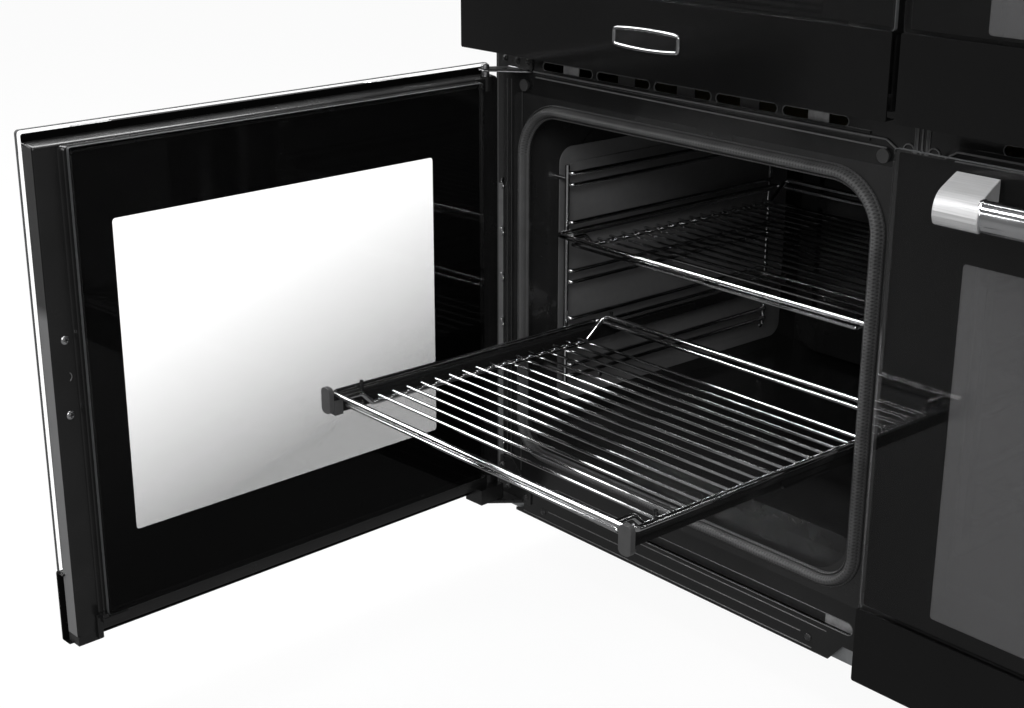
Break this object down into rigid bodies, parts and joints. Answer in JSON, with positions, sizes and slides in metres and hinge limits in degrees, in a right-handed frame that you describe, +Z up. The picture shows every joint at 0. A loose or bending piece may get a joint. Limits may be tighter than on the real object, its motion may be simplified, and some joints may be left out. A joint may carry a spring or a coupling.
{
  "type": "electric range cooker",
  "caption": "Free-standing electric range cooker with side-hinged oven doors, drop-down grill doors, wire racks on telescopic runners and a glass hob.",
  "frame": {"origin": "on the floor, at the middle of the box round the object as it stands with its left oven door open", "axes": "+X to the right seen from the front, +Y into the cooker, +Z up"},
  "size_m": [1.0511, 1.0602, 0.9],
  "materials": {
    "black_panel": "gloss black stoved paint on steel",
    "steel_sheet": "satin dark grey powder coat",
    "galvanised": "bare zinc-coated sheet",
    "enamel": "black vitreous enamel with slight orange peel",
    "front_enamel": "black gloss enamel",
    "braided_seal": "braided glass-fibre rope",
    "bumper_rubber": "moulded rubber",
    "foot_plastic": "moulded foot on a threaded stem",
    "chrome_wire": "chrome-plated wire",
    "hinge_steel": "zinc-plated steel",
    "runner_black": "gloss black coated steel",
    "runner_steel": "rolled steel",
    "cap_plastic": "grey moulded plastic",
    "fan_steel": "pressed aluminised sheet",
    "motor_steel": "zinc-plated casing",
    "element_sheath": "oxidised heating tube",
    "lamp_glass": "moulded heat-proof glass",
    "mineral_wool": "mineral wool blanket",
    "switch_body": "moulded switch body",
    "display_glass": "dark display window",
    "hob_glass": "black glass-ceramic",
    "hob_trim": "gloss black frame",
    "radiant": "insulated radiant element",
    "terminal_plastic": "moulded terminal housing",
    "knob_metal": "spun satin aluminium",
    "door_enamel": "black enamelled pressing",
    "door_glass": "black-printed glass with a clear window",
    "strip_black": "gloss black trim",
    "handle_metal": "chromed bar on brushed aluminium ends"
  },
  "bodies": {
    "carcass": {"base_frame": "galvanised", "feet": "foot_plastic", "side_panels": "steel_sheet", "back_panel": "galvanised", "front_frame": "front_enamel", "oven_liner_left": "enamel", "oven_liner_right": "enamel", "grill_liners": "enamel", "door_seals": "braided_seal", "door_bumpers": "bumper_rubber", "shelf_supports": "chrome_wire", "fan_covers": "enamel", "fan_motors": "motor_steel", "oven_elements": "element_sheath", "oven_lamps": "lamp_glass", "insulation": "mineral_wool", "control_panel": "black_panel", "rotary_switches": "switch_body", "clock_display": "display_glass", "hob_frame": "hob_trim", "hob_glass": "hob_glass", "hob_elements": "radiant", "terminal_box": "terminal_plastic", "hinge_plates": "hinge_steel", "runner_outer": "runner_steel"},
    "runner_middle": {"runner_middle": "runner_black"},
    "runner_carriage": {"runner_inner": "runner_black", "runner_caps": "cap_plastic", "rack_lower": "chrome_wire"},
    "rack_upper": {"rack_upper": "chrome_wire"},
    "rack_right_low": {"rack_right_low": "chrome_wire"},
    "rack_right_high": {"rack_right_high": "chrome_wire"},
    "fan_left": {"fan_left": "fan_steel"},
    "fan_right": {"fan_right": "fan_steel"},
    "knob_1": {"knob_1": "knob_metal"},
    "knob_2": {"knob_2": "knob_metal"},
    "knob_3": {"knob_3": "knob_metal"},
    "knob_4": {"knob_4": "knob_metal"},
    "knob_5": {"knob_5": "knob_metal"},
    "knob_6": {"knob_6": "knob_metal"},
    "knob_7": {"knob_7": "knob_metal"},
    "knob_8": {"knob_8": "knob_metal"},
    "left_door": {"left_door_frame": "door_enamel", "left_door_outer_glass": "door_glass", "left_door_inner_glass": "door_glass", "left_door_strip": "strip_black", "left_door_handle": "handle_metal"},
    "right_door": {"right_door_frame": "door_enamel", "right_door_outer_glass": "door_glass", "right_door_inner_glass": "door_glass", "right_door_strip": "strip_black", "right_door_handle": "handle_metal"},
    "grill_door_left": {"grill_door_left_frame": "door_enamel", "grill_door_left_glass": "door_glass", "grill_door_left_strip": "strip_black", "grill_door_left_handle": "handle_metal"},
    "grill_door_right": {"grill_door_right_frame": "door_enamel", "grill_door_right_glass": "door_glass", "grill_door_right_strip": "strip_black", "grill_door_right_handle": "handle_metal"}
  },
  "joints": [
    {"name": "left_door_hinge", "type": "hinge", "parent": "carcass", "child": "left_door", "pos_m": [-0.4521, -0.0523, 0.3], "axis": [0, 0, 1], "range_deg": [-21, 0]},
    {"name": "right_door_hinge", "type": "hinge", "parent": "carcass", "child": "right_door", "pos_m": [0.5111, -0.0523, 0.3], "axis": [0, 0, 1], "range_deg": [0, 105]},
    {"name": "grill_door_left_hinge", "type": "hinge", "parent": "carcass", "child": "grill_door_left", "pos_m": [-0.2205, -0.0523, 0.5475], "axis": [1, 0, 0], "range_deg": [0, 90]},
    {"name": "grill_door_right_hinge", "type": "hinge", "parent": "carcass", "child": "grill_door_right", "pos_m": [0.2795, -0.0523, 0.5475], "axis": [1, 0, 0], "range_deg": [0, 90]},
    {"name": "runner_carriage_slide", "type": "slide", "parent": "carcass", "child": "runner_carriage", "axis": [0, -1, 0], "range_m": [-0.273, 0]},
    {"name": "runner_middle_slide", "type": "slide", "parent": "carcass", "child": "runner_middle", "axis": [0, -1, 0], "range_m": [-0.1365, 0]},
    {"name": "rack_upper_slide", "type": "slide", "parent": "carcass", "child": "rack_upper", "axis": [0, -1, 0], "range_m": [0, 0.2]},
    {"name": "rack_right_low_slide", "type": "slide", "parent": "carcass", "child": "rack_right_low", "axis": [0, -1, 0], "range_m": [0, 0.03]},
    {"name": "rack_right_high_slide", "type": "slide", "parent": "carcass", "child": "rack_right_high", "axis": [0, -1, 0], "range_m": [0, 0.03]},
    {"name": "fan_left_spin", "type": "hinge", "parent": "carcass", "child": "fan_left", "pos_m": [-0.2135, 0.39, 0.309], "axis": [0, 1, 0], "continuous": true},
    {"name": "fan_right_spin", "type": "hinge", "parent": "carcass", "child": "fan_right", "pos_m": [0.2725, 0.39, 0.309], "axis": [0, 1, 0], "continuous": true},
    {"name": "knob_1_turn", "type": "hinge", "parent": "carcass", "child": "knob_1", "pos_m": [-0.3505, -0.07, 0.827], "axis": [0, 1, 0], "range_deg": [0, 270]},
    {"name": "knob_2_turn", "type": "hinge", "parent": "carcass", "child": "knob_2", "pos_m": [-0.2605, -0.07, 0.827], "axis": [0, 1, 0], "range_deg": [0, 270]},
    {"name": "knob_3_turn", "type": "hinge", "parent": "carcass", "child": "knob_3", "pos_m": [-0.1705, -0.07, 0.827], "axis": [0, 1, 0], "range_deg": [0, 270]},
    {"name": "knob_4_turn", "type": "hinge", "parent": "carcass", "child": "knob_4", "pos_m": [-0.0805, -0.07, 0.827], "axis": [0, 1, 0], "range_deg": [0, 270]},
    {"name": "knob_5_turn", "type": "hinge", "parent": "carcass", "child": "knob_5", "pos_m": [0.1395, -0.07, 0.827], "axis": [0, 1, 0], "range_deg": [0, 270]},
    {"name": "knob_6_turn", "type": "hinge", "parent": "carcass", "child": "knob_6", "pos_m": [0.2295, -0.07, 0.827], "axis": [0, 1, 0], "range_deg": [0, 270]},
    {"name": "knob_7_turn", "type": "hinge", "parent": "carcass", "child": "knob_7", "pos_m": [0.3195, -0.07, 0.827], "axis": [0, 1, 0], "range_deg": [0, 270]},
    {"name": "knob_8_turn", "type": "hinge", "parent": "carcass", "child": "knob_8", "pos_m": [0.4095, -0.07, 0.827], "axis": [0, 1, 0], "range_deg": [0, 270]}
  ],
  "couplings": [
    {"joint": "runner_middle_slide", "follows": "runner_carriage_slide", "ratio": 0.5}
  ]
}
